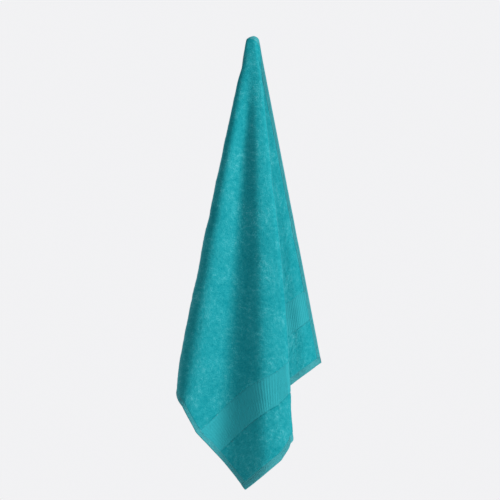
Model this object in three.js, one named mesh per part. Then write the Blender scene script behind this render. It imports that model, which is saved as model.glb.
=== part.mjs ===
// A terry bath towel hanging over a wall peg by a point on one long side.
// Millimetres. +Z is up, the wall is toward +Y and the front is toward -Y.
// The origin is the spot on the underside of the cloth that rests on top of the peg.
//
// The flat cloth is measured "along" its long side from the hang point and "across"
// from that side to the other. Seen from the hang point the cloth is a fan of 180
// degrees. The fan is gathered into folds that hang one behind another, so a straight
// line from the hang point stays a nearly straight line in the hanging cloth.
import * as THREE from 'three';

// ---- the flat towel ----
const TOWEL_LENGTH = 1350;
const TOWEL_WIDTH = 670;
const FRONT_END = 720;            // hang point to the short end that hangs in front
const BACK_END = TOWEL_LENGTH - FRONT_END;
const END_HEM = 14;               // turned and stitched hem on each short end
const SIDE_HEM = 10;              // turned and stitched hem on each long side
const BAND_FROM_END = 98;         // short end to the near edge of the woven band
const BAND_WIDTH = 65;            // flat ribbed band woven across each end
const SEAM_GAP = 0.7;             // clearance between pieces that touch

// ---- thicknesses ----
const TERRY_THICKNESS = 3.6;
const BAND_THICKNESS = 2.4;
const HEM_THICKNESS = 4.0;
const GATHERED_SHARE = 0.45;      // the pile is pressed to this share at the peg
const PRESSED_UNTIL = 280;        // and has its full thickness this far from it

// ---- the peg that the towel fits ----
const PEG_RADIUS = 10;
const PEG_ROOM = 0.6;             // clearance between the peg and the cloth over it
const PEG_TIP = 12.5;             // how far the tip of the peg stands in front of the origin

// ---- the care label ----
const LABEL_WIDTH = 26;
const LABEL_DROP = 38;
const LABEL_THICKNESS = 0.8;
const LABEL_ALONG = -430;         // where it is sewn on, along the side that hangs behind

// ---- how the fan is folded ----
// at is the angle in the flat fan. lean is the angle from the plumb line once hung,
// + to the right. layer is the place in the stack after this line, 0 at the front.
const FOLDS = [
  { at: 0, lean: 11.0, layer: 2 },
  { at: 17, lean: -1.0, layer: 1 },
  { at: 34.5, lean: 5.8, layer: 0 },
  { at: 57.5, lean: -11.75, layer: 3 },
  { at: 93, lean: 9.8, layer: 4 },
  { at: 122, lean: -10.5, layer: 5 },
  { at: 146, lean: 4.9, layer: 6 },
  { at: 163, lean: -9.0, layer: 7 },
  { at: 180, lean: 4.0, layer: 7 },
];
// Where the front layer leans unevenly between its two folds.
const FRONT_BENDS = [
  { at: 38.6, lean: 3.4 },
  { at: 43, lean: -1.0 },
  { at: 50.5, lean: -7.6 },
];
const RIGHT_LEAN = FOLDS[0].lean;
const FRONT_FOLD = FOLDS[2];
const LEFT_FOLD = FOLDS[3];
const LAST_LAYER = FOLDS[FOLDS.length - 1].layer;
// Sideways start of a line at the peg, by its lean: left outline, front fold, right outline.
const STARTS = [[-12, -12.9], [5.8, 5.9], [11, 7.5]];
// Place in the stack beside the peg, where the cloth wraps its right, tip and left.
const WRAP_LAYERS = [[0, 2.2], [22, 1.2], [29, 0.9], [35, 0], [45, 0.05], [60, 0.35], [180, 7.2]];
const WRAP_RIGHT_UNTIL = 12;
const WRAP_LEFT_FROM = 74;

const LAYER_GAP_AT_PEG = 5.4;
const LAYER_GAP_GROWTH = 0.0125;  // more room between layers for each mm further down
const FRONT_SLOPE = 0.055;        // the front layer moves forward as it goes down
const RIPPLE = 0.032;             // depth of the soft pleats, as a share of the drop
const RIPPLE_CREST = 1.8;         // lean of the middle crest
const RIPPLE_LEFT = 5.5;          // lean from there to the valley at its left
const RIPPLE_RIGHT = 9.5;         // and to the valley at the right outline
const RIPPLE_LOST_BEHIND = 0.75;  // the pleats fade toward the wall
const SPREAD_START = 26;          // the gathers open between these distances from the peg
const SPREAD_END = 110;
const DROOP = 52;                 // bias stretch of the cloth beside the free corner
const DROOP_AT_SIDE = 0.15;       // share of it on the near side itself
const DROOP_RISE = 150;           // it is whole this far across
const DROOP_FROM = 290;           // and fades between these places
const DROOP_UNTIL = 560;
const CURL = 10;                  // the foot of the front fold rolls inward
const CURL_WIDTH = 1.6;             // half width of that roll in the fan, in degrees
const LEFT_CURL = 12;             // and so does the foot of the left fold
const LEFT_CURL_WIDTH = 2.2;
const SWELL = 8;                  // the layer at the right swells forward this far
const SWELL_AT = 3.5;             // round this line of the fan
const SWELL_WIDTH = 2.4;
const HOOD_ROUND = 1.5;           // rounds the dome over the peg, seen from the front

const FRONT_DEPTH = PEG_TIP + 2;
const HOOD_RADIUS = PEG_RADIUS + PEG_ROOM + (TERRY_THICKNESS * GATHERED_SHARE) / 2;
const HOOD_LENGTH = (HOOD_RADIUS * Math.PI) / 2;
const HOOD_TOP = (TERRY_THICKNESS * GATHERED_SHARE) / 2;

// ---- mesh steps ----
const FAN_STEP = 4.5;             // widest step of the fan between folds, in degrees
const FOLD_STEPS = [-4.5, -2.6, -1.5, -0.8, -0.35, 0, 0.35, 0.8, 1.5, 2.6, 4.5];
const EDGE_LINES = [1.35, 1.8, 2.5, 3.5, 5, 7];
const DROP_STEPS = 13;
const DROP_CROWDING = 1.8;        // crowds those steps toward the peg
const SHORTEST_LINE = 1.0;        // a piece's corner ends blunt at this length

const radians = THREE.MathUtils.degToRad;
const degrees = THREE.MathUtils.radToDeg;
const mix = THREE.MathUtils.lerp;

function smooth(from, to, value) {
  return THREE.MathUtils.smoothstep(value, from, to);
}

// Straight-line reading of a short list of [x, y] points.
function readOff(points, x) {
  if (x <= points[0][0]) return points[0][1];
  const next = points.findIndex((point) => point[0] > x);
  if (next < 0) return points[points.length - 1][1];
  const [x0, y0] = points[next - 1];
  const [x1, y1] = points[next];
  return mix(y0, y1, (x - x0) / (x1 - x0));
}

function layerGap(drop) {
  return LAYER_GAP_AT_PEG + LAYER_GAP_GROWTH * drop;
}

// A fold is a half circle as deep as the two layers that it joins are apart. width is
// half of it in the flat fan, and reach is how far its tip stands past its ends.
function foldTurn(index, drop) {
  const fold = FOLDS[index];
  const before = FOLDS[index - 1];
  const after = FOLDS[index + 1];
  if (!before || !after) return { fold, before, width: 0, reach: 0 };
  const radius = (Math.abs(fold.layer - before.layer) * layerGap(drop)) / 2;
  const room = Math.min(fold.at - before.at, after.at - fold.at);
  const span = Math.min(Math.abs(fold.lean - before.lean), Math.abs(after.lean - fold.lean));
  const width = Math.min(degrees(((Math.PI / 2) * radius) / drop), 0.46 * room);
  const reach = Math.min(degrees(radius / drop), 0.46 * span);
  return { fold, before, width, reach };
}

// Lean and layer of the line at fanAngle, this far down: in a fold, or between two.
function foldedLine(drop, fanAngle) {
  const next = Math.max(FOLDS.findIndex((fold) => fold.at >= fanAngle), 1);
  const from = foldTurn(next - 1, drop);
  const to = foldTurn(next, drop);
  const side = Math.sign(to.fold.lean - from.fold.lean);
  const nearest = fanAngle - from.fold.at < to.fold.at - fanAngle ? from : to;
  const away = fanAngle - nearest.fold.at;
  if (Math.abs(away) < nearest.width) {
    const turn = away / nearest.width;
    const inward = nearest === from ? side : -side;
    const rise = 0.5 + 0.5 * Math.sin((turn * Math.PI) / 2);
    return {
      lean: nearest.fold.lean + inward * nearest.reach * (1 - Math.cos((turn * Math.PI) / 2)),
      layer: mix(nearest.before.layer, nearest.fold.layer, rise),
    };
  }
  const start = [from.fold.at + from.width, from.fold.lean + side * from.reach];
  const end = [to.fold.at - to.width, to.fold.lean - side * to.reach];
  const bends = FRONT_BENDS.filter((bend) => bend.at > start[0] && bend.at < end[0]);
  const points = [start, ...bends.map((bend) => [bend.at, bend.lean]), end];
  return { lean: readOff(points, fanAngle), layer: from.fold.layer };
}

// Depth of the soft pleats at this lean: -1 at a crest toward the front, +1 in a valley.
function pleat(lean) {
  const away = lean - RIPPLE_CREST;
  return -Math.cos((Math.PI * away) / (away < 0 ? RIPPLE_LEFT : RIPPLE_RIGHT));
}

// 1 on one line of the fan, and less on the lines beside it.
function beside(line, width, fanAngle) {
  return Math.exp(-(((fanAngle - line) / width) ** 2));
}

// Where the middle of the cloth lies, from its distance and angle in the fan.
function hang(distance, fanAngle) {
  const drop = Math.max(distance, HOOD_LENGTH);
  const hood = Math.min(distance / HOOD_LENGTH, 1) * (Math.PI / 2);
  const spread = smooth(SPREAD_START, SPREAD_END, drop);
  const line = foldedLine(drop, fanAngle);
  const layer = mix(readOff(WRAP_LAYERS, fanAngle), line.layer, spread);
  const wrapLeft = STARTS[0][1] + drop * Math.sin(radians(LEFT_FOLD.lean));
  const wrapRight = STARTS[2][1] + drop * Math.sin(radians(RIGHT_LEAN));
  const wrap = mix(wrapRight, wrapLeft, smooth(WRAP_RIGHT_UNTIL, WRAP_LEFT_FROM, fanAngle));
  const curl = CURL * smooth(600, 880, drop) * beside(FRONT_FOLD.at, CURL_WIDTH, fanAngle);
  const leftCurl = LEFT_CURL * smooth(715, 830, drop) * beside(LEFT_FOLD.at, LEFT_CURL_WIDTH, fanAngle);
  const hung = readOff(STARTS, line.lean) + drop * Math.sin(radians(line.lean)) - curl + leftCurl;
  const pleatDepth = RIPPLE * pleat(line.lean) * (1 - (RIPPLE_LOST_BEHIND * layer) / LAST_LAYER);
  const forward = FRONT_SLOPE - layer * LAYER_GAP_GROWTH - pleatDepth;
  const fall = Math.sqrt(1 - Math.sin(radians(line.lean)) ** 2 - forward ** 2);
  const opening = smooth(20, PRESSED_UNTIL, drop);
  const x = mix(wrap, hung, spread);
  const swell = SWELL * beside(SWELL_AT, SWELL_WIDTH, fanAngle) * smooth(250, 650, drop);
  const stacked = layer * layerGap(drop) - FRONT_DEPTH - FRONT_SLOPE * drop;
  const y = stacked + pleatDepth * drop * opening - swell;
  const z = HOOD_TOP - HOOD_RADIUS * (1 - Math.cos(hood)) - fall * (drop - HOOD_LENGTH);
  return new THREE.Vector3(x * Math.sin(hood) ** HOOD_ROUND, y * Math.sin(hood), z);
}

// The cloth's unit normal, pointing out of its face.
function faceNormal(distance, fanAngle) {
  const drop = Math.max(distance, 2);
  const angle = THREE.MathUtils.clamp(fanAngle, 0.05, 179.95);
  const turnStep = 0.04;
  const dropStep = 0.5;
  const down = hang(drop + dropStep, angle).sub(hang(drop - dropStep, angle));
  const round = hang(drop, angle + turnStep).sub(hang(drop, angle - turnStep));
  return round.cross(down).normalize();
}

// The stretch that lets the cloth beside the free corner hang lower than its side does.
function droop(along, across) {
  const rise = mix(DROOP_AT_SIDE, 1, Math.min(across / DROOP_RISE, 1));
  return DROOP * rise * (1 - smooth(DROOP_FROM, DROOP_UNTIL, across)) * smooth(0, 500, along);
}

function surfacePoint([along, across], offset) {
  const pulled = along + droop(along, across);
  const distance = Math.hypot(pulled, across);
  const fanAngle = degrees(Math.atan2(across, pulled));
  const pressed = mix(GATHERED_SHARE, 1, smooth(20, PRESSED_UNTIL, distance));
  const point = hang(distance, fanAngle);
  return point.addScaledVector(faceNormal(distance, fanAngle), offset * pressed);
}

// ---- places on the flat towel, read along a line of the fan ----

// Flat place of the point at this distance on the line at fanAngle.
function flatPlace(distance, fanAngle) {
  const across = distance * Math.sin(radians(fanAngle));
  const pulled = distance * Math.cos(radians(fanAngle));
  let along = pulled;
  for (let i = 0; i < 20; i += 1) along = pulled - droop(along, across);
  return [along, across];
}

// Distance at which the line at fanAngle reaches this place along the towel.
function distanceToAlong(along, fanAngle) {
  const cosine = Math.cos(radians(fanAngle));
  if (along * cosine <= 0) return Infinity;
  let distance = along / cosine;
  for (let i = 0; i < 30; i += 1) {
    distance = (along + droop(along, distance * Math.sin(radians(fanAngle)))) / cosine;
  }
  return distance;
}

function distanceToAcross(across, fanAngle) {
  const sine = Math.sin(radians(fanAngle));
  return sine > 1e-9 ? across / sine : Infinity;
}

function fanAngleOf(along, across) {
  return degrees(Math.atan2(across, along + droop(along, across)));
}

// ---- the borders of the pieces on the flat towel ----
const BAND_OUT = BAND_FROM_END;
const BAND_IN = BAND_FROM_END + BAND_WIDTH;
const NEAR_EDGE = SIDE_HEM + SEAM_GAP;
const FAR_EDGE = TOWEL_WIDTH - SIDE_HEM - SEAM_GAP;

const ENDS = {
  front: { sign: 1, length: FRONT_END },
  back: { sign: -1, length: BACK_END },
};

// Lines of the fan that every piece is cut along, so that neighbours share them.
function fanLines() {
  const lines = [0, 180];
  FOLDS.slice(1, -1).forEach((fold) => FOLD_STEPS.forEach((step) => lines.push(fold.at + step)));
  FRONT_BENDS.forEach((bend) => lines.push(bend.at));
  const corners = [0, END_HEM, END_HEM + SEAM_GAP, BAND_OUT - SEAM_GAP, BAND_OUT, BAND_IN];
  Object.values(ENDS).forEach(({ sign, length }) => {
    [...corners, BAND_IN + SEAM_GAP].forEach((inset) => {
      lines.push(fanAngleOf(sign * (length - inset), FAR_EDGE));
    });
    lines.push(fanAngleOf(sign * length, TOWEL_WIDTH));
    EDGE_LINES.forEach((angle) => lines.push(sign > 0 ? angle : 180 - angle));
  });
  lines.sort((a, b) => a - b);
  const spaced = [lines[0]];
  lines.slice(1).forEach((line) => {
    const from = spaced[spaced.length - 1];
    if (line - from < 0.06) return;
    const steps = Math.ceil((line - from) / FAN_STEP);
    for (let i = 1; i <= steps; i += 1) spaced.push(mix(from, line, i / steps));
  });
  return spaced;
}

const FAN = fanLines();

// ---- solids ----

// Sheet of cloth through a grid of flat places: rows turn through the fan from the front
// end's side to the back end's, and places in a row go away from the hang point.
function sheetGeometry(rows, thickness) {
  const columns = rows[0].length;
  const positions = [];
  [thickness / 2, -thickness / 2].forEach((offset) => {
    rows.flat().forEach((place) => positions.push(...surfacePoint(place, offset).toArray()));
  });
  const back = rows.length * columns;
  const at = (row, column) => row * columns + column;
  const indices = [];
  const square = (a, b, c, d) => indices.push(a, b, c, b, d, c);
  for (let row = 0; row < rows.length - 1; row += 1) {
    for (let column = 0; column < columns - 1; column += 1) {
      const corners = [at(row, column), at(row + 1, column), at(row, column + 1), at(row + 1, column + 1)];
      const [a, b, c, d] = corners;
      square(a, b, c, d);
      square(back + b, back + a, back + d, back + c);
    }
    square(at(row, 0), back + at(row, 0), at(row + 1, 0), back + at(row + 1, 0));
    const last = columns - 1;
    square(at(row, last), at(row + 1, last), back + at(row, last), back + at(row + 1, last));
  }
  for (let column = 0; column < columns - 1; column += 1) {
    const last = rows.length - 1;
    square(at(0, column), at(0, column + 1), back + at(0, column), back + at(0, column + 1));
    square(at(last, column + 1), at(last, column), back + at(last, column + 1), back + at(last, column));
  }
  const geometry = new THREE.BufferGeometry();
  geometry.setAttribute('position', new THREE.Float32BufferAttribute(positions, 3));
  geometry.setIndex(indices);
  geometry.computeVertexNormals();
  return geometry;
}

// Places along one line of the fan between two distances.
function placesOnLine(fanAngle, from, to, steps, crowding) {
  return Array.from({ length: steps + 1 }, (_, i) => {
    return flatPlace(mix(from, to, (i / steps) ** crowding), fanAngle);
  });
}

// Rows of a piece along every line of the fan that crosses it. spanOf gives the two
// distances between which a line lies on the piece. Where the piece ends between two
// lines, one more row is cut at its very corner.
function cutRows(spanOf, steps, crowding) {
  const lengthAt = (fanAngle) => {
    const [from, to] = spanOf(fanAngle);
    return to - from;
  };
  const row = (fanAngle) => placesOnLine(fanAngle, ...spanOf(fanAngle), steps, crowding);
  const rows = [];
  FAN.forEach((fanAngle, i) => {
    const inside = lengthAt(fanAngle) >= SHORTEST_LINE;
    if (i > 0 && inside !== lengthAt(FAN[i - 1]) >= SHORTEST_LINE) {
      let [within, beyond] = inside ? [fanAngle, FAN[i - 1]] : [FAN[i - 1], fanAngle];
      for (let half = 0; half < 30; half += 1) {
        const middle = (within + beyond) / 2;
        if (lengthAt(middle) >= SHORTEST_LINE) within = middle;
        else beyond = middle;
      }
      rows.push(row(within));
    }
    if (inside) rows.push(row(fanAngle));
  });
  return rows.filter((places, i) => i === 0 || farApart(places[steps], rows[i - 1][steps]));
}

function farApart([along0, across0], [along1, across1]) {
  return Math.hypot(along0 - along1, across0 - across1) > 0.2;
}

function endAlongs(inset) {
  return [FRONT_END - inset, -(BACK_END - inset)];
}

function centreRows() {
  const [frontAlong, backAlong] = endAlongs(BAND_IN + SEAM_GAP);
  const spanOf = (fanAngle) => [
    distanceToAcross(NEAR_EDGE, fanAngle),
    Math.min(
      distanceToAcross(FAR_EDGE, fanAngle),
      distanceToAlong(frontAlong, fanAngle),
      distanceToAlong(backAlong, fanAngle),
    ),
  ];
  return cutRows(spanOf, DROP_STEPS, DROP_CROWDING);
}

// Rows of a piece that lies across one end, between two distances from that end.
function crossRows(end, outer, inner, nearEdge, farEdge, steps) {
  const outerAlong = end.sign * (end.length - outer);
  const innerAlong = end.sign * (end.length - inner);
  const spanOf = (fanAngle) => {
    const from = distanceToAlong(innerAlong, fanAngle);
    if (nearEdge > 0 && from < distanceToAcross(nearEdge + 2, fanAngle)) return [0, 0];
    const to = Math.min(distanceToAlong(outerAlong, fanAngle), distanceToAcross(farEdge, fanAngle));
    return Number.isFinite(from) ? [from, to] : [0, 0];
  };
  const rows = cutRows(spanOf, steps, 1);
  if (nearEdge === 0) return rows;
  const edge = Array.from({ length: steps + 1 }, (_, i) => {
    return [mix(innerAlong, outerAlong, i / steps), nearEdge];
  });
  return end.sign > 0 ? [edge, ...rows] : [...rows, edge];
}

function farHemRows() {
  const [frontAlong, backAlong] = endAlongs(END_HEM + SEAM_GAP);
  const spanOf = (fanAngle) => [
    distanceToAcross(TOWEL_WIDTH - SIDE_HEM, fanAngle),
    Math.min(
      distanceToAcross(TOWEL_WIDTH, fanAngle),
      distanceToAlong(frontAlong, fanAngle),
      distanceToAlong(backAlong, fanAngle),
    ),
  ];
  return cutRows(spanOf, 1, 1);
}

function nearHemRows() {
  const [frontAlong, backAlong] = endAlongs(END_HEM + SEAM_GAP);
  const stations = [frontAlong, backAlong];
  FAN.forEach((fanAngle) => {
    const distance = distanceToAcross(NEAR_EDGE, fanAngle);
    if (!Number.isFinite(distance)) return;
    const [along] = flatPlace(distance, fanAngle);
    if (along < frontAlong - 2 && along > backAlong + 2) stations.push(along);
  });
  stations.sort((a, b) => b - a);
  return stations.map((along) => [[along, 0], [along, SIDE_HEM / 2], [along, SIDE_HEM]]);
}

// ---- materials ----
function cloth(colour, roughness) {
  return new THREE.MeshStandardMaterial({ color: colour, roughness, metalness: 0 });
}

const TERRY = cloth(0x1e94a0, 0.95);
const WOVEN_BAND = cloth(0x35a3ae, 0.7);
const HEMMED = cloth(0x1f8b97, 0.85);
const SATIN = cloth(0xf2f1ec, 0.5);

function sheet(name, rows, thickness, material) {
  const mesh = new THREE.Mesh(sheetGeometry(rows, thickness), material);
  mesh.name = name;
  return mesh;
}

// Pieces across one short end: woven band, terry below it and the end hem.
function endPieces(which, end) {
  const terryOut = END_HEM + SEAM_GAP;
  const terryIn = BAND_OUT - SEAM_GAP;
  const band = crossRows(end, BAND_OUT, BAND_IN, NEAR_EDGE, FAR_EDGE, 2);
  const terry = crossRows(end, terryOut, terryIn, NEAR_EDGE, FAR_EDGE, 2);
  const hem = crossRows(end, 0, END_HEM, 0, TOWEL_WIDTH, 1);
  return [
    sheet(`${which}_woven_band`, band, BAND_THICKNESS, WOVEN_BAND),
    sheet(`${which}_end_terry`, terry, TERRY_THICKNESS, TERRY),
    sheet(`${which}_end_hem`, hem, HEM_THICKNESS, HEMMED),
  ];
}

// A blank satin label sewn to the side hem behind, hanging straight down.
function careLabel() {
  const shape = new THREE.BoxGeometry(LABEL_WIDTH, LABEL_THICKNESS, LABEL_DROP);
  const mesh = new THREE.Mesh(shape, SATIN);
  const hem = surfacePoint([LABEL_ALONG, 0], 0);
  mesh.name = 'care_label';
  mesh.position.set(hem.x + LABEL_WIDTH / 2 + HEM_THICKNESS, hem.y, hem.z - LABEL_DROP / 2);
  return mesh;
}

const towel = new THREE.Group();
towel.add(sheet('centre_terry', centreRows(), TERRY_THICKNESS, TERRY));
towel.add(...endPieces('front', ENDS.front));
towel.add(...endPieces('back', ENDS.back));
towel.add(sheet('near_side_hem', nearHemRows(), HEM_THICKNESS, HEMMED));
towel.add(sheet('far_side_hem', farHemRows(), HEM_THICKNESS, HEMMED));
towel.add(careLabel());

export default towel;
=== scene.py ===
import math

import bpy
import numpy as np
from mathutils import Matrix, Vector


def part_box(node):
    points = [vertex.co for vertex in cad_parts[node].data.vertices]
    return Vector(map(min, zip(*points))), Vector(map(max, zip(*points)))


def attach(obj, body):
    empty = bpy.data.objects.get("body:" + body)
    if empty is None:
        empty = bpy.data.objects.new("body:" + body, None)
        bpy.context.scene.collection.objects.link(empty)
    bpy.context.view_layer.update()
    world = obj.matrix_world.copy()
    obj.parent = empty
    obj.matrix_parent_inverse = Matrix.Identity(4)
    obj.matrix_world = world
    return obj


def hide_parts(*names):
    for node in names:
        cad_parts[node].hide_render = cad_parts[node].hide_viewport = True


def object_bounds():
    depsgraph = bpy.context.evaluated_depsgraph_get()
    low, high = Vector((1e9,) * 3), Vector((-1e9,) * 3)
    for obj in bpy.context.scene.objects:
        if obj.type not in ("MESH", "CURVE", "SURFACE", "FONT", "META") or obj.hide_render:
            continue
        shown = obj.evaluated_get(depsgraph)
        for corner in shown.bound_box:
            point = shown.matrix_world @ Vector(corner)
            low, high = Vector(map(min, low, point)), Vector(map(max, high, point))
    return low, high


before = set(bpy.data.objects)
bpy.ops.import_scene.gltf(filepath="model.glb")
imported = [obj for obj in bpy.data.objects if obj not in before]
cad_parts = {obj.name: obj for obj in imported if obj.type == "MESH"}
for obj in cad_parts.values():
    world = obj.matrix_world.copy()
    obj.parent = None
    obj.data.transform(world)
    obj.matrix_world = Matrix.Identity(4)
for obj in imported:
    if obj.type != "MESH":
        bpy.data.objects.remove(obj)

cad_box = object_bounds()
MM = 0.001

# ---- the flat towel, as the frame has it ----
TOWEL_LENGTH = 1350
TOWEL_WIDTH = 670
FRONT_END = 720
BACK_END = TOWEL_LENGTH - FRONT_END
END_HEM = 14
SIDE_HEM = 10
BAND_FROM_END = 98
BAND_WIDTH = 65
TERRY_THICKNESS = 3.6
BAND_THICKNESS = 2.4
GATHERED_SHARE = 0.45            # the cloth is pressed to this share near the peg,
PRESSED_FROM = 20                # and thickens to the whole between these distances
PRESSED_UNTIL = 280
PEG_RADIUS = 10                  # of the peg that the towel fits
PEG_ROOM = 0.6                   # clearance between the peg and the cloth over it
PEG_TIP = 12.5                   # how far the peg's tip stands in front of the origin

# ---- how the fan is folded: (angle in the flat fan, lean once hung, layer after it) ----
FOLDS = [
    (0, 11.0, 2),
    (17, -1.0, 1),
    (34.5, 5.8, 0),
    (57.5, -11.75, 3),
    (93, 9.8, 4),
    (122, -10.5, 5),
    (146, 4.9, 6),
    (163, -9.0, 7),
    (180, 4.0, 7),
]
# (angle, lean) where the front layer leans unevenly between its two folds.
FRONT_BENDS = [(38.6, 3.4), (43, -1.0), (50.5, -7.6)]
RIGHT_LEAN = FOLDS[0][1]
FRONT_FOLD = FOLDS[2][0]
LEFT_FOLD, LEFT_LEAN, _ = FOLDS[3]
LAST_LAYER = FOLDS[-1][2]
# (lean, sideways start of that line at the peg): left outline, front fold, right outline.
STARTS = [(-12, -12.9), (5.8, 5.9), (11, 7.5)]
# (angle, place in the stack) beside the peg, where the cloth wraps it.
WRAP_LAYERS = [(0, 2.2), (22, 1.2), (29, 0.9), (35, 0), (45, 0.05), (60, 0.35), (180, 7.2)]
WRAP_RIGHT_UNTIL = 12
WRAP_LEFT_FROM = 74
LAYER_GAP_AT_PEG = 5.4
LAYER_GAP_GROWTH = 0.0125        # more room between layers for each millimetre further down
FRONT_SLOPE = 0.055              # the front layer moves forward as it goes down
RIPPLE = 0.032                   # depth of the soft pleats, as a share of the drop
RIPPLE_CREST = 1.8               # lean of the middle crest,
RIPPLE_LEFT = 5.5                # and from there to the valleys at its left and right
RIPPLE_RIGHT = 9.5
RIPPLE_LOST_BEHIND = 0.75        # the pleats fade toward the wall
SPREAD_START = 26                # the gathers open between these distances from the peg
SPREAD_END = 110
DROOP = 52                       # bias stretch of the cloth beside the free corner
DROOP_AT_SIDE = 0.15             # share of it on the near side itself
DROOP_RISE = 150                 # it is whole this far across
DROOP_FROM = 290                 # it fades between these places across,
DROOP_UNTIL = 560
DROOP_ALONG = 500                # and is whole from this far along
CURL = 10                        # the foot of the front fold rolls inward
CURL_WIDTH = 1.6
CURL_FROM = 600
CURL_UNTIL = 880
LEFT_CURL = 12                   # and so does the foot of the left fold
LEFT_CURL_WIDTH = 2.2
LEFT_CURL_FROM = 715
LEFT_CURL_UNTIL = 830
SWELL = 8                        # the layer at the right swells forward
SWELL_AT = 3.5
SWELL_WIDTH = 2.4
SWELL_FROM = 250
SWELL_UNTIL = 650
HOOD_ROUND = 1.5                 # rounds the dome over the peg, seen from the front
FOLD_SHARE = 0.46                # a fold's half circle takes at most this share of its room
FRONT_DEPTH = PEG_TIP + 2
HOOD_TOP = TERRY_THICKNESS * GATHERED_SHARE / 2
HOOD_RADIUS = PEG_RADIUS + PEG_ROOM + HOOD_TOP
HOOD_LENGTH = HOOD_RADIUS * math.pi / 2

# ---- shallow waves and hollows of the limp cloth, whole from LIMP_UNTIL off the peg ----
LIMP_FROM = 100
LIMP_UNTIL = 460
WAVE_DEPTH = 0.8
# Share, degrees of the fan for a radian, distance for a radian, and phase of each wave.
WAVES = [(1, 3.1, 130, 0), (0.6, 1.9, -85, 1.7)]
HOLLOW_DEPTH = 1.5
HOLLOW_SIZE = 62
HOLLOW_SEED = 71


def smooth(low, high, value):
    share = np.clip((value - low) / (high - low), 0, 1)
    return share * share * (3 - 2 * share)


def mix(first, second, share):
    return first + (second - first) * share


def read_off(points, x):
    return np.interp(x, *zip(*points))


def layer_gap(drop):
    return LAYER_GAP_AT_PEG + LAYER_GAP_GROWTH * drop


def fold_turn(index, drop):
    """Half width in the fan, and reach of the tip, of the half circle at this fold."""
    if index in (0, len(FOLDS) - 1):
        return np.zeros_like(drop), np.zeros_like(drop)
    (at0, lean0, layer0), (at, lean, layer), (at1, lean1, _) = FOLDS[index - 1:index + 2]
    radius = abs(layer - layer0) * layer_gap(drop) / 2
    room = min(at - at0, at1 - at)
    span = min(abs(lean - lean0), abs(lean1 - lean))
    width = np.minimum(np.degrees(math.pi / 2 * radius / drop), FOLD_SHARE * room)
    return width, np.minimum(np.degrees(radius / drop), FOLD_SHARE * span)


def through_points(x, ends, bends):
    """Straight-line reading through bends, between two ends that differ for each x."""
    (x0, y0), (x1, y1) = ends
    found, last_x, last_y = y0.copy(), x0, y0
    for bend_x, bend_y in [*bends, (None, None)]:
        if bend_x is None:
            next_x, next_y = x1, y1
        else:
            outside = (bend_x <= last_x) | (bend_x >= x1)
            next_x = np.where(outside, last_x, bend_x)
            next_y = np.where(outside, last_y, bend_y)
        share = (x - last_x) / np.maximum(next_x - last_x, 1e-9)
        here = (x >= last_x) & (next_x > last_x)
        found = np.where(here, mix(last_y, next_y, np.minimum(share, 1)), found)
        last_x, last_y = next_x, next_y
    return found


def folded_line(drop, angle):
    """Lean and layer of each line of the fan, this far down."""
    lean, layer = np.zeros_like(drop), np.zeros_like(drop)
    for i in range(1, len(FOLDS)):
        (at0, lean0, layer0), (at1, lean1, layer1) = FOLDS[i - 1:i + 1]
        here = (angle > at0) & (angle <= at1) | (angle <= 0) & (i == 1)
        here |= (angle > 180) & (i == len(FOLDS) - 1)
        d, a = drop[here], angle[here]
        side = np.sign(lean1 - lean0)
        (w0, r0), (w1, r1) = fold_turn(i - 1, d), fold_turn(i, d)
        bends = FRONT_BENDS if at0 == FRONT_FOLD else []
        ends = (at0 + w0, lean0 + side * r0), (at1 - w1, lean1 - side * r1)
        found_lean, found_layer = through_points(a, ends, bends), np.full_like(a, layer0)
        near = (a - at0 < w0) & (a - at0 < at1 - a)
        turn = (a - at0) / np.maximum(w0, 1e-9) * math.pi / 2
        found_lean = np.where(near, lean0 + side * r0 * (1 - np.cos(turn)), found_lean)
        rise = mix(FOLDS[i - 2][2], layer0, 0.5 + 0.5 * np.sin(turn))
        found_layer = np.where(near, rise, found_layer)
        near = (at1 - a < w1) & (at1 - a <= a - at0)
        turn = (a - at1) / np.maximum(w1, 1e-9) * math.pi / 2
        found_lean = np.where(near, lean1 - side * r1 * (1 - np.cos(turn)), found_lean)
        rise = mix(layer0, layer1, 0.5 + 0.5 * np.sin(turn))
        found_layer = np.where(near, rise, found_layer)
        lean[here], layer[here] = found_lean, found_layer
    return lean, layer


def pleat(lean):
    """Depth of the soft pleats: -1 at a crest toward the front, 1 in a valley."""
    away = lean - RIPPLE_CREST
    return -np.cos(math.pi * away / np.where(away < 0, RIPPLE_LEFT, RIPPLE_RIGHT))


def beside(line, width, angle):
    """1 on one line of the fan, and less on the lines beside it."""
    return np.exp(-((angle - line) / width) ** 2)


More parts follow.
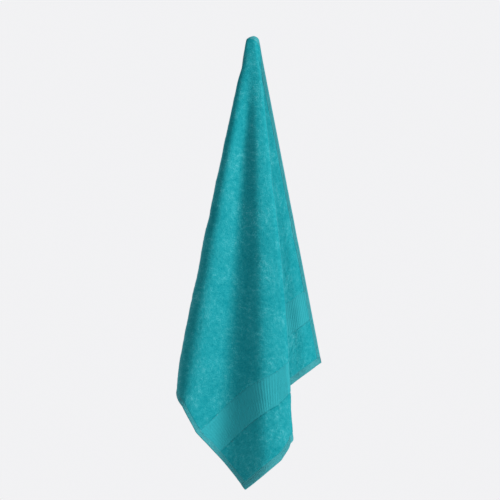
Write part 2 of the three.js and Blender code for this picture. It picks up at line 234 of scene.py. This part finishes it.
def hang(distance, angle):
    """Where the middle of the cloth lies, from its distance and angle in the fan."""
    drop = np.maximum(distance, HOOD_LENGTH)
    hood = np.minimum(distance / HOOD_LENGTH, 1) * math.pi / 2
    spread = smooth(SPREAD_START, SPREAD_END, drop)
    lean, layer = folded_line(drop, angle)
    layer = mix(read_off(WRAP_LAYERS, angle), layer, spread)
    sine = np.sin(np.radians(lean))
    wrap_left = STARTS[0][1] + drop * math.sin(math.radians(LEFT_LEAN))
    wrap_right = STARTS[2][1] + drop * math.sin(math.radians(RIGHT_LEAN))
    wrap = mix(wrap_right, wrap_left, smooth(WRAP_RIGHT_UNTIL, WRAP_LEFT_FROM, angle))
    curl = CURL * smooth(CURL_FROM, CURL_UNTIL, drop) * beside(FRONT_FOLD, CURL_WIDTH, angle)
    left_foot = smooth(LEFT_CURL_FROM, LEFT_CURL_UNTIL, drop)
    curl = curl - LEFT_CURL * left_foot * beside(LEFT_FOLD, LEFT_CURL_WIDTH, angle)
    hung = read_off(STARTS, lean) + drop * sine - curl
    pleat_depth = RIPPLE * pleat(lean) * (1 - RIPPLE_LOST_BEHIND * layer / LAST_LAYER)
    forward = FRONT_SLOPE - layer * LAYER_GAP_GROWTH - pleat_depth
    fall = np.sqrt(1 - sine ** 2 - forward ** 2)
    x = mix(wrap, hung, spread)
    y = layer * layer_gap(drop) - FRONT_DEPTH - FRONT_SLOPE * drop
    y = y + pleat_depth * drop * smooth(PRESSED_FROM, PRESSED_UNTIL, drop)
    y = y - SWELL * beside(SWELL_AT, SWELL_WIDTH, angle) * smooth(SWELL_FROM, SWELL_UNTIL, drop)
    z = HOOD_TOP - HOOD_RADIUS * (1 - np.cos(hood)) - fall * (drop - HOOD_LENGTH)
    return np.stack([x * np.sin(hood) ** HOOD_ROUND, y * np.sin(hood), z], -1)


def face_normal(distance, angle):
    """The cloth's unit normal, from short steps down it and round the fan."""
    drop = np.maximum(distance, 2)
    angle = np.clip(angle, 0.05, 179.95)
    step, turn = 0.5, 0.04
    down = hang(drop + step, angle) - hang(drop - step, angle)
    round_fan = hang(drop, angle + turn) - hang(drop, angle - turn)
    normal = np.cross(round_fan, down)
    return normal / np.linalg.norm(normal, axis=-1, keepdims=True)


def droop(along, across):
    """The stretch that lets the cloth beside the free corner hang lower than its side."""
    rise = mix(DROOP_AT_SIDE, 1, np.minimum(across / DROOP_RISE, 1))
    fade = 1 - smooth(DROOP_FROM, DROOP_UNTIL, across)
    return DROOP * rise * fade * smooth(0, DROOP_ALONG, along)


def limp(distance, angle, along, across):
    """Depth of the waves and hollows, which grow away from the peg."""
    wave = sum(
        share * np.sin(angle / fan_reach + distance / reach + phase)
        for share, fan_reach, reach, phase in WAVES)
    hollow = lattice_noise(along, across, HOLLOW_SIZE, HOLLOW_SEED)
    hollow = hollow + 0.5 * lattice_noise(along, across, HOLLOW_SIZE / 2, HOLLOW_SEED + 1)
    return (WAVE_DEPTH * wave + HOLLOW_DEPTH * hollow) * smooth(LIMP_FROM, LIMP_UNTIL, distance)


def on_cloth(along, across, offset):
    """Places in metres of points of the flat towel, offset from the middle of the cloth."""
    pulled = along + droop(along, across)
    distance = np.hypot(pulled, across)
    angle = np.degrees(np.arctan2(across, pulled))
    pressed = mix(GATHERED_SHARE, 1, smooth(PRESSED_FROM, PRESSED_UNTIL, distance))
    raised = offset * pressed + limp(distance, angle, along, across)
    return (hang(distance, angle) + face_normal(distance, angle) * raised[..., None]) * MM


# ---- pile: the tufts of loops that stand up from terry cloth ----
PILE_CLUMP = 0.3                 # how far a clump of loops stands out or lies low
CLUMP_SIZE = 4.2
WIDE_CLUMP_SIZE = 7.5
PILE_DRIFT = 0.35                # slower swells of the pile
DRIFT_SIZE = 26
FACE_SEED = 11
BACK_SEED = 41


def lattice_noise(x, y, size, seed):
    """Smooth noise from -1 to 1 over the flat cloth, with bumps about this size."""
    u, v = x / size, y / size
    i, j = np.floor(u).astype(np.int64), np.floor(v).astype(np.int64)
    fu, fv = u - i, v - j
    fu, fv = fu * fu * (3 - 2 * fu), fv * fv * (3 - 2 * fv)

    def corner(a, b):
        mixed = (a * 73856093) ^ (b * 19349663) ^ (seed * 83492791)
        mixed = (mixed ^ (mixed >> 13)) * 1274126177
        return ((mixed ^ (mixed >> 16)) & 0xFFFF) / 32767.5 - 1

    low = mix(corner(i, j), corner(i + 1, j), fu)
    high = mix(corner(i, j + 1), corner(i + 1, j + 1), fu)
    return mix(low, high, fv)


def pile_height(along, across, seed):
    """How far the pile stands above its middle height, in millimetres."""
    clumps = lattice_noise(along, across, CLUMP_SIZE, seed)
    clumps = clumps + 0.7 * lattice_noise(along, across, WIDE_CLUMP_SIZE, seed + 1)
    drift = lattice_noise(along, across, DRIFT_SIZE, seed + 2)
    return PILE_CLUMP * clumps + PILE_DRIFT * drift


# ---- meshes ----
def new_piece(name, points, faces, flat, bake, material):
    """A piece from its points and faces. flat and bake are map places for each point."""
    mesh = bpy.data.meshes.new(name)
    mesh.from_pydata(points.tolist(), [], faces)
    for map_name, places in (("Flat", flat), ("OFBake", bake)):
        if places is not None:
            layer = mesh.uv_layers.new(name=map_name)
            corner = np.zeros(len(mesh.loops), np.int32)
            mesh.loops.foreach_get("vertex_index", corner)
            layer.uv.foreach_set("vector", places[corner].astype(np.float32).ravel())
    mesh.materials.append(material)
    mesh.polygons.foreach_set("use_smooth", np.full(len(mesh.polygons), True))
    piece = bpy.data.objects.new(name, mesh)
    bpy.context.scene.collection.objects.link(piece)
    return piece


def quads_of(index):
    """Faces of a grid of point numbers."""
    a, b = index[:-1, :-1].ravel(), index[:-1, 1:].ravel()
    c, d = index[1:, 1:].ravel(), index[1:, :-1].ravel()
    return np.stack([a, b, c, d], 1)


def spaced(low, high, finest, coarsest, growth):
    """Places from low to high in an even number of steps, finest nearest to 0."""
    def march(reach):
        places = [0.0]
        while places[-1] < reach:
            places.append(places[-1] + min(finest + growth * places[-1], coarsest))
        return np.array(places) * reach / places[-1]
    if low >= 0:
        steps = low + march(high - low)
    elif high <= 0:
        steps = high - march(high - low)[::-1]
    else:
        steps = np.concatenate([-march(-low)[::-1], march(high)[1:]])
    if len(steps) % 2 == 0:
        steps = np.insert(steps, -1, (steps[-2] + steps[-1]) / 2)
    return steps


FACE_STRIP = 0.66                # share of the bake map that the face takes
BACK_STRIP = 0.33


def cloth_piece(name, along, across, face_offset, back_offset, material):
    """One closed sheet over a grid of flat places. The face takes every line of the grid
    and the back every second one. The offsets are from the middle of the cloth."""
    rows, columns = along.shape
    back_along, back_across = along[::2, ::2], across[::2, ::2]
    face = on_cloth(along, across, face_offset)
    back = on_cloth(back_along, back_across, back_offset[::2, ::2])
    points = np.concatenate([face.reshape(-1, 3), back.reshape(-1, 3)])
    at = np.arange(rows * columns).reshape(rows, columns)
    under = rows * columns + np.arange(back_along.size).reshape(back_along.shape)
    faces = [quads_of(at), quads_of(under)[:, ::-1]]
    for edge, lower in (
        (at[0], under[0]), (at[-1][::-1], under[-1][::-1]),
        (at[:, 0][::-1], under[:, 0][::-1]), (at[:, -1], under[:, -1]),
    ):
        faces.append(np.stack([edge[:-2:2], lower[:-1], lower[1:], edge[2::2]], 1))
        faces.append(np.stack([edge[:-2:2], edge[2::2], edge[1:-1:2]], 1))
    faces = [face for group in faces for face in group.tolist()]
    flat = np.concatenate([
        np.stack([along.ravel(), across.ravel()], 1),
        np.stack([back_along.ravel(), back_across.ravel() + 2 * TOWEL_WIDTH], 1),
    ]) * MM
    grid_u, grid_v = np.meshgrid(np.linspace(0, 1, rows), np.linspace(0, 1, columns), indexing="ij")
    u = np.concatenate([grid_u.ravel(), grid_u[::2, ::2].ravel()])
    v = np.concatenate([grid_v.ravel() * FACE_STRIP, 1 - BACK_STRIP + grid_v[::2, ::2].ravel() * BACK_STRIP])
    return new_piece(name, points, faces, flat, np.stack([u, v], 1), material)


def signed_volume(points, quads):
    """Below zero where the faces point inwards."""
    a, b, c, d = (points[quads[:, i]] for i in range(4))
    return float((a * np.cross(b, c)).sum() + (a * np.cross(c, d)).sum())


def edge_piece(name, along, across, offset, material):
    """A closed band of cloth round a hem: rows run along the hem, and columns go once
    round its section."""
    rows, columns = along.shape
    points = on_cloth(along, across, offset).reshape(-1, 3)
    index = np.arange(rows * columns).reshape(rows, columns)
    quads = quads_of(np.concatenate([index, index[:, :1]], 1))
    first, last = index[0], index[-1][::-1]
    if signed_volume(points, quads) < 0:
        quads, first, last = quads[:, ::-1], first[::-1], last[::-1]
    flat = np.stack([along.ravel(), across.ravel() + 0.5 * offset.ravel()], 1) * MM
    faces = [*quads.tolist(), first.tolist(), last.tolist()]
    return new_piece(name, points, faces, flat, None, material)


# ---- materials ----
# Teal in painted shade, the towel's own teal, and teal with a painted highlight. The ramps below put the
# shade in the hollows between loops and threads and the highlight on their tops, mixed with slow random
# tone.
TEAL_PAINTED_SHADE = (0.003, 0.235, 0.275, 1)
TEAL = (0.016, 0.305, 0.345, 1)
TEAL_PAINTED_HIGHLIGHT = (0.075, 0.42, 0.46, 1)
BAND_TEAL = (0.028, 0.365, 0.41, 1)
# Band teal in painted shade, for the grooves between its threads.
BAND_PAINTED_SHADE = (0.004, 0.265, 0.31, 1)
THREAD_TEAL = (0.03, 0.42, 0.48, 1)
LABEL_WHITE = (0.80, 0.79, 0.74, 1)
LABEL_SHADE = (0.70, 0.69, 0.64, 1)
CLOTH_SPECULAR = 0.08            # cloth hardly mirrors
WAVE_PERIOD = 0.314              # period of the Wave node at a scale of 1


class Finish:
    """A material built node by node, with its pattern on the flat cloth in metres."""

    def __init__(self, name, roughness, sheen=0.0, sheen_roughness=0.5, sheen_tint=(1, 1, 1, 1)):
        self.material = bpy.data.materials.new(name)
        self.material.use_nodes = True
        self.tree = self.material.node_tree
        self.shader = self.tree.nodes["Principled BSDF"]
        self.shader.inputs["Roughness"].default_value = roughness
        self.shader.inputs["Specular IOR Level"].default_value = CLOTH_SPECULAR
        self.shader.inputs["Sheen Weight"].default_value = sheen
        self.shader.inputs["Sheen Roughness"].default_value = sheen_roughness
        self.shader.inputs["Sheen Tint"].default_value = sheen_tint
        self.place = self.node("ShaderNodeUVMap").outputs["UV"]
        self.place.node.uv_map = "Flat"

    def node(self, kind, **settings):
        made = self.tree.nodes.new(kind)
        for key, value in settings.items():
            setattr(made, key, value)
        return made

    def wire(self, source, target):
        self.tree.links.new(source, target)

    def noise(self, size, detail):
        """Soft noise with features about this many metres across."""
        made = self.node("ShaderNodeTexNoise")
        made.inputs["Scale"].default_value = 1 / size
        made.inputs["Detail"].default_value = detail
        self.wire(self.place, made.inputs["Vector"])
        return made.outputs["Fac"]

    def loops(self, size):
        """Round tufts of about this many metres across: 0 at the middle of each."""
        made = self.node("ShaderNodeTexVoronoi", feature="SMOOTH_F1")
        made.inputs["Scale"].default_value = 1 / size
        made.inputs["Smoothness"].default_value = 0.35
        self.wire(self.place, made.inputs["Vector"])
        return made.outputs["Distance"]

    def threads(self, size, direction):
        """Parallel threads this many metres apart, running along or across."""
        made = self.node("ShaderNodeTexWave", bands_direction=direction, wave_profile="SIN")
        made.inputs["Scale"].default_value = WAVE_PERIOD / size
        made.inputs["Distortion"].default_value = 0.6
        made.inputs["Detail"].default_value = 1.0
        self.wire(self.place, made.inputs["Vector"])
        return made.outputs["Fac"]

    def sums(self, first, second, share):
        """first plus a share of second."""
        made = self.node("ShaderNodeMath", operation="MULTIPLY_ADD")
        made.inputs[1].default_value = share
        self.wire(second, made.inputs[0])
        self.wire(first, made.inputs[2])
        return made.outputs[0]

    def ramp(self, source, *stops):
        made = self.node("ShaderNodeValToRGB")
        elements = made.color_ramp.elements
        while len(elements) < len(stops):
            elements.new(0.5)
        for element, (place, colour) in zip(elements, stops):
            element.position = place
            element.color = colour
        self.wire(source, made.inputs["Fac"])
        return made.outputs["Color"]

    def colour(self, source):
        self.wire(source, self.shader.inputs["Base Color"])

    def bump(self, height, depth):
        made = self.node("ShaderNodeBump")
        made.inputs["Distance"].default_value = depth
        made.inputs["Strength"].default_value = 1.0
        self.wire(height, made.inputs["Height"])
        self.wire(made.outputs["Normal"], self.shader.inputs["Normal"])


def terry_finish():
    finish = Finish("terry_loops", 0.95, sheen=0.35, sheen_roughness=0.3, sheen_tint=(0.4, 0.95, 1, 1))
    loops = finish.loops(0.0019)
    clumps = finish.noise(0.009, 4)
    height = finish.sums(clumps, loops, -0.7)
    # Colour runs from painted shade where the pile lies low to a painted highlight on the loop tops, with
    # slow random tone from the wide noise.
    painted_light_and_tone = finish.sums(height, finish.noise(0.05, 3), 0.7)
    finish.colour(finish.ramp(painted_light_and_tone, (0.15, TEAL_PAINTED_SHADE), (0.62, TEAL), (0.95, TEAL_PAINTED_HIGHLIGHT)))
    finish.bump(finish.sums(height, finish.noise(0.0011, 2), 0.35), 0.0008)
    return finish.material


def band_finish():
    finish = Finish("woven_ribs", 0.55, sheen=0.3, sheen_roughness=0.25, sheen_tint=(0.5, 0.96, 1, 1))
    threads = finish.sums(finish.threads(0.0011, "X"), finish.threads(0.0009, "Y"), 0.6)
    painted_light_and_tone = finish.sums(threads, finish.noise(0.02, 3), 0.9)
    # Painted shade between the threads, from the same waves that bump them, with random tone from the noise.
    finish.colour(finish.ramp(painted_light_and_tone, (0.2, BAND_PAINTED_SHADE), (0.9, BAND_TEAL)))
    finish.bump(threads, 0.00025)
    return finish.material


def hem_finish():
    finish = Finish("hemmed_edge", 0.85, sheen=0.2, sheen_roughness=0.3, sheen_tint=(0.4, 0.95, 1, 1))
    threads = finish.sums(finish.threads(0.0014, "X"), finish.threads(0.0012, "Y"), 0.7)
    painted_light_and_tone = finish.sums(threads, finish.noise(0.009, 3), 0.8)
    # Painted shade between the threads and a painted highlight on their tops, with random tone from the
    # noise.
    finish.colour(finish.ramp(painted_light_and_tone, (0.1, TEAL_PAINTED_SHADE), (0.75, TEAL), (1.0, TEAL_PAINTED_HIGHLIGHT)))
    finish.bump(finish.sums(threads, finish.noise(0.0016, 2), 0.8), 0.0005)
    return finish.material


def thread_finish():
    finish = Finish("sewing_thread", 0.55, sheen=0.2)
    finish.colour(finish.ramp(finish.noise(0.004, 2), (0.3, BAND_TEAL), (0.7, THREAD_TEAL)))
    finish.bump(finish.noise(0.0004, 1), 0.0001)
    return finish.material


def label_finish():
    finish = Finish("satin_tape", 0.38, sheen=0.3)
    threads = finish.threads(0.0006, "Y")
    finish.colour(finish.ramp(threads, (0.0, LABEL_SHADE), (1.0, LABEL_WHITE)))
    finish.bump(threads, 0.00005)
    return finish.material


TERRY = terry_finish()
WOVEN = band_finish()
HEMMED = hem_finish()
THREAD = thread_finish()
SATIN = label_finish()


# ---- the towel's pieces ----
BAND_OUT = BAND_FROM_END
BAND_IN = BAND_FROM_END + BAND_WIDTH
TUCK = 1.2                       # how far terry and bands run in under a hem
OVERLAP = 0.5                    # how far terry and band run past the border between them
TERRY_HALF = TERRY_THICKNESS / 2
BAND_HALF = BAND_THICKNESS / 2
PILE_FADE = (-0.5, 2.8)          # the pile rises between these distances from a border
PILE_AT_BORDER = 0.2             # share of its thickness that terry keeps there


def pile_fade(along, across):
    """The pile lies low beside the hems and the bands: 1 in the open, 0 at a border."""
    inset = np.where(along > 0, FRONT_END - along, BACK_END + along)
    side = np.minimum(across - SIDE_HEM, TOWEL_WIDTH - SIDE_HEM - across)
    border = np.minimum(np.abs(inset - BAND_OUT), np.abs(inset - BAND_IN))
    return smooth(*PILE_FADE, np.minimum(np.minimum(side, border), inset - END_HEM))


def terry_depth(along, across, seed):
    """From the middle of the cloth to the top of its pile."""
    share = mix(PILE_AT_BORDER, 1, pile_fade(along, across))
    return (TERRY_HALF + pile_height(along, across, seed)) * share


def terry_piece(name, low, high, steps):
    across_lines = spaced(SIDE_HEM - TUCK, TOWEL_WIDTH - SIDE_HEM + TUCK, *steps)
    grid = np.meshgrid(spaced(low, high, *steps), across_lines, indexing="ij")
    face = terry_depth(*grid, FACE_SEED)
    back = -terry_depth(*grid, BACK_SEED)
    return cloth_piece(name, *grid, face, back, TERRY)


RIB = 5.6                        # from one rib of the band to the next
RIB_HEIGHT = 0.6
RIB_SAMPLES = 6
RIB_SINK = 0.2                   # the grooves between ribs lie this far under the flat face
RIBS_STRAIGHT_FROM = 430         # the ribs fan out less and less from here to the far side
BAND_ROWS = 15
# Close rows of points beside the two borders, as shares of the band's width.
BAND_OUTER_ROWS = ([0.012, 0.04], [0.96, 0.988])
BAND_EDGE = 3.2                  # plain, sunken edge of the band beside the terry
BAND_AT_BORDER = 0.1             # share of its thickness that the band keeps there


def band_piece(name, sign, length):
    """The flat woven band. Its ribs hang straight down, so they fan out a little."""
    count = 2 * int((TOWEL_WIDTH - 2 * SIDE_HEM) / RIB * RIB_SAMPLES / 2) + 1
    rib_place = np.linspace(SIDE_HEM - TUCK, TOWEL_WIDTH - SIDE_HEM + TUCK, count)
    shares = np.linspace(0, 1, BAND_ROWS)
    first_rows, last_rows = BAND_OUTER_ROWS
    shares = np.concatenate([shares[:1], first_rows, shares[1:-1], last_rows, shares[-1:]])
    inset = mix(BAND_IN + OVERLAP, BAND_OUT - OVERLAP, shares)
    inset, ribs = np.meshgrid(inset, rib_place, indexing="ij")
    along = sign * (length - inset)
    middle = length - (BAND_IN + BAND_OUT) / 2
    fan_out = (np.abs(along) / middle - 1) * (1 - smooth(RIBS_STRAIGHT_FROM, TOWEL_WIDTH, ribs))
    across = ribs * (1 + fan_out)
    edge = smooth(0, BAND_EDGE, np.minimum(inset - BAND_OUT, BAND_IN - inset))
    rib = np.sin(2 * math.pi * ribs / RIB) * 0.5 + 0.5
    raised = (BAND_HALF - RIB_SINK + RIB_HEIGHT * rib * edge) * mix(BAND_AT_BORDER, 1, edge)
    if sign < 0:
        along, across, raised = along[::-1], across[::-1], raised[::-1]
    return cloth_piece(name, along, across, raised, -raised, WOVEN)


SEAM_INSET = 2.6                 # from a hem's inner edge to its row of stitches
PUCKER = 0.3                     # a hem is drawn in and out this far along its length
PUCKER_LENGTH = 9.0
PUCKER_SEED = 5
HEM_NAP = 0.5                    # share of the pile's unevenness that shows on a hem


def hem_section(width):
    """Outline of a hem's section: how far in from the edge, and how far from the middle."""
    half = [
        (width + 0.8, 0.7), (width - 0.4, 1.35), (width - 1.8, 1.4), (width - SEAM_INSET, 0.95),
        (width - 3.4, 1.45), (0.45 * width, 1.7), (2.0, 1.65), (0.7, 1.15), (0.1, 0.4),
    ]
    outline = half + [(inset, -offset) for inset, offset in reversed(half)]
    return np.array(outline).T


def hem_piece(name, stations, width, flat_place):
    """A turned hem along stations, each a place along its edge."""
    inset, offset = hem_section(width)
    station, inset = np.meshgrid(stations, inset, indexing="ij")
    along, across = flat_place(station, inset)
    pucker = PUCKER * lattice_noise(station, np.zeros_like(station), PUCKER_LENGTH, PUCKER_SEED)
    nap = HEM_NAP * pile_height(along, across, FACE_SEED) * np.sign(offset)
    return edge_piece(name, along, across, offset + pucker + nap, HEMMED)


STITCH = 3.2                     # from one stitch to the next
STITCH_LENGTH = 2.4
STITCH_RADIUS = 0.4
STITCH_SIDES = 5
STITCH_OUT = 1.25                # from the middle of the hem to the middle of a stitch
RING_PLACES = [-0.5, -0.25, 0.25, 0.5]  # rings round a stitch, as shares of its length
RING_SIZES = [0.35, 1, 1, 0.35]


def stitching(name, low, high, width, flat_place):
    """A row of stitches on each side of a hem."""
    centres = np.arange(low + STITCH, high - STITCH, STITCH)
    ring_at = np.array(RING_PLACES) * STITCH_LENGTH
    ring_size = np.array(RING_SIZES) * STITCH_RADIUS
    turn = np.arange(STITCH_SIDES) / STITCH_SIDES * 2 * math.pi
    points, faces = [], []
    for side in (1, -1):
        station = centres[:, None, None] + ring_at[None, :, None] + 0 * turn
        inset = width - SEAM_INSET + (ring_size[:, None] * np.cos(turn))[None] + 0 * station
        offset = side * STITCH_OUT + (ring_size[:, None] * np.sin(turn))[None] + 0 * station
        along, across = flat_place(station, inset)
        points.append(on_cloth(along, across, offset).reshape(len(centres), -1, 3))
    points = np.concatenate(points)
    rings = np.arange(len(ring_at) * STITCH_SIDES).reshape(len(ring_at), STITCH_SIDES)
    quads = quads_of(np.concatenate([rings, rings[:, :1]], 1))
    first, last = rings[0].tolist(), rings[-1][::-1].tolist()
    for number, stitch in enumerate(points):
        start = number * rings.size
        inside_out = signed_volume(stitch, quads) < 0
        group = [*quads.tolist(), first, last]
        faces += [[start + at for at in (face[::-1] if inside_out else face)] for face in group]
    points = points.reshape(-1, 3)
    return new_piece(name, points, faces, points[:, [0, 2]], None, THREAD)


def near_side(station, inset):
    return station, inset


def far_side(station, inset):
    return station, TOWEL_WIDTH - inset


def front_edge(station, inset):
    return FRONT_END - inset, station


def back_edge(station, inset):
    return inset - BACK_END, station


# The care label, in metres.
LABEL_TUCK = 0.005               # it is this much wider toward the side hem, and meets it
LABEL_CURL = 0.0022              # how far the middle of its lower edge bows out
LABEL_WAVE = 0.0012              # shallow wave down the label
LABEL_OPENING = 0.0007           # half the gap between its two halves, at the fold
LABEL_PLY = 0.0003
LABEL_COLUMNS = 13
LABEL_ROWS = 33
LABEL_SHORT = 0.02               # share of its drop that the fold stays above the lower edge


def label_piece(name):
    """A blank satin label: a strip folded in two, sewn into the side hem by its edge."""
    low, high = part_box("care_label")
    width, drop = high.x - low.x + LABEL_TUCK, high.z - low.z
    columns, rows = np.linspace(0, 1, LABEL_COLUMNS), np.linspace(0, 1, LABEL_ROWS)
    across_label, down = np.meshgrid(columns, rows, indexing="ij")
    fold = np.abs(down - 0.5) * 2
    x = high.x - width * (1 - across_label)
    z = low.z + drop * (LABEL_SHORT + (1 - LABEL_SHORT) * fold)
    bend = LABEL_CURL * np.sin(across_label * 3.1) * (1 - fold) + LABEL_WAVE * np.sin(5 * fold)
    opening = np.sign(down - 0.5) * LABEL_OPENING * np.sqrt(np.maximum(1 - fold, 0))
    y = (low.y + high.y) / 2 + bend + opening
    middle = np.stack([x, y, z], -1)
    flat = np.stack([x.ravel(), (z + drop * (down > 0.5)).ravel()], 1)
    index = np.arange(down.size).reshape(down.shape)
    piece = new_piece(name, middle.reshape(-1, 3), quads_of(index).tolist(), flat, None, SATIN)
    bpy.ops.object.select_all(action="DESELECT")
    piece.select_set(True)
    bpy.context.view_layer.objects.active = piece
    ply = piece.modifiers.new("ply", "SOLIDIFY")
    ply.thickness = LABEL_PLY
    bpy.ops.object.modifier_apply(modifier=ply.name)
    return piece


# Finest step, coarsest step, and growth of a step with its distance from the hang point.
CENTRE_STEPS = (1.7, 4.35, 0.012)
END_STEPS = (2.6, 2.8, 0.001)
SIDE_HEM_STEPS = (1.6, 3.2, 0.012)
END_HEM_STEPS = (2.6, 2.6, 0)


HEM_LAP = 1                      # how far a side hem runs on into the end hems
SIDE_LOW = -(BACK_END - END_HEM + HEM_LAP)
SIDE_HIGH = FRONT_END - END_HEM + HEM_LAP
SIDE_STATIONS = spaced(SIDE_LOW, SIDE_HIGH, *SIDE_HEM_STEPS)
END_STATIONS = spaced(0, TOWEL_WIDTH, *END_HEM_STEPS)
pieces = {
    "centre_terry": terry_piece(
        "towel_centre_terry",
        -(BACK_END - BAND_IN) - OVERLAP, FRONT_END - BAND_IN + OVERLAP, CENTRE_STEPS),
    "front_end_terry": terry_piece(
        "towel_front_end_terry",
        FRONT_END - BAND_OUT - OVERLAP, FRONT_END - END_HEM + TUCK, END_STEPS),
    "back_end_terry": terry_piece(
        "towel_back_end_terry",
        -(BACK_END - END_HEM) - TUCK, -(BACK_END - BAND_OUT) + OVERLAP, END_STEPS),
    "front_woven_band": band_piece("towel_front_band", 1, FRONT_END),
    "back_woven_band": band_piece("towel_back_band", -1, BACK_END),
    "near_side_hem": hem_piece("towel_near_side_hem", SIDE_STATIONS, SIDE_HEM, near_side),
    "far_side_hem": hem_piece("towel_far_side_hem", SIDE_STATIONS, SIDE_HEM, far_side),
    "front_end_hem": hem_piece("towel_front_end_hem", END_STATIONS, END_HEM, front_edge),
    "back_end_hem": hem_piece("towel_back_end_hem", END_STATIONS, END_HEM, back_edge),
    "care_label": label_piece("towel_label"),
}
for node, piece in pieces.items():
    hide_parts(node)
    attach(piece, "root")

threads = [
    stitching("towel_near_side_stitches", SIDE_LOW, SIDE_HIGH, SIDE_HEM, near_side),
    stitching("towel_far_side_stitches", SIDE_LOW, SIDE_HIGH, SIDE_HEM, far_side),
    stitching("towel_front_end_stitches", 0, TOWEL_WIDTH, END_HEM, front_edge),
    stitching("towel_back_end_stitches", 0, TOWEL_WIDTH, END_HEM, back_edge),
]
for piece in threads:
    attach(piece, "root")


# ---- floor, light and camera ----
FLOOR_RADIUS = 1.45
FLOOR_DROP = 0.27                # from the towel's lowest corner down to the floor
FLOOR_PALE = (0.86, 0.86, 0.87, 1)
ROOM_SEEN = (0.885, 0.885, 0.9, 1)
ROOM_TINT = (0.9, 0.95, 1.0, 1)
ROOM_LIGHT = 0.31
# Name, place from the middle of the towel, width and power of each lamp.
LAMPS = [
    ("key_lamp", (2.5, -1.7, 1.2), 1.7, 122),
    ("fill_lamp", (-2.2, -2.8, 0.6), 1.8, 14),
    ("back_lamp", (-1.2, 2.6, 1.0), 1.8, 45),
]
CAMERA_PLACE = (-0.0087, -4.0, -0.463)
LENS = 132.7
SENSOR_WIDTH = 36


def pale_floor(below):
    bpy.ops.object.select_all(action="DESELECT")
    bpy.ops.mesh.primitive_circle_add(
        vertices=96, radius=FLOOR_RADIUS, fill_type="NGON", location=(0, 0, below.z - FLOOR_DROP))
    floor = bpy.context.object
    floor.name = "floor"
    pale = bpy.data.materials.new("pale_floor")
    pale.use_nodes = True
    shader = pale.node_tree.nodes["Principled BSDF"]
    shader.inputs["Base Color"].default_value = FLOOR_PALE
    shader.inputs["Roughness"].default_value = 0.9
    floor.data.materials.append(pale)


def pale_room():
    """The room looks pale to the camera, and lights the towel more dimly than it looks."""
    world = bpy.data.worlds.new("pale_room")
    bpy.context.scene.world = world
    world.use_nodes = True
    nodes, links = world.node_tree.nodes, world.node_tree.links
    nodes["Background"].inputs["Color"].default_value = ROOM_SEEN
    nodes["Background"].inputs["Strength"].default_value = 1.0
    dim = nodes.new("ShaderNodeBackground")
    dim.inputs["Color"].default_value = ROOM_TINT
    dim.inputs["Strength"].default_value = ROOM_LIGHT
    seen = nodes.new("ShaderNodeLightPath")
    blend = nodes.new("ShaderNodeMixShader")
    links.new(seen.outputs["Is Camera Ray"], blend.inputs["Fac"])
    links.new(dim.outputs["Background"], blend.inputs[1])
    links.new(nodes["Background"].outputs["Background"], blend.inputs[2])
    links.new(blend.outputs["Shader"], nodes["World Output"].inputs["Surface"])


def lamps(centre):
    for name, place, size, power in LAMPS:
        lamp = bpy.data.objects.new(name, bpy.data.lights.new(name, "AREA"))
        lamp.data.shape = "DISK"
        lamp.data.size = size
        lamp.data.energy = power
        lamp.location = centre + Vector(place)
        lamp.rotation_mode = "QUATERNION"
        lamp.rotation_quaternion = (-Vector(place)).to_track_quat("-Z", "Y")
        bpy.context.scene.collection.objects.link(lamp)


def front_camera():
    camera = bpy.data.objects.new("camera", bpy.data.cameras.new("camera"))
    camera.data.lens = LENS
    camera.data.sensor_width = SENSOR_WIDTH
    camera.location = CAMERA_PLACE
    camera.rotation_euler = (math.radians(90), 0, 0)
    camera.data.clip_end = 50
    bpy.context.scene.collection.objects.link(camera)
    bpy.context.scene.camera = camera
    bpy.context.scene.view_settings.view_transform = "Standard"


cad_low, cad_high = cad_box
pale_floor(cad_low)
pale_room()
lamps((cad_low + cad_high) / 2)
front_camera()
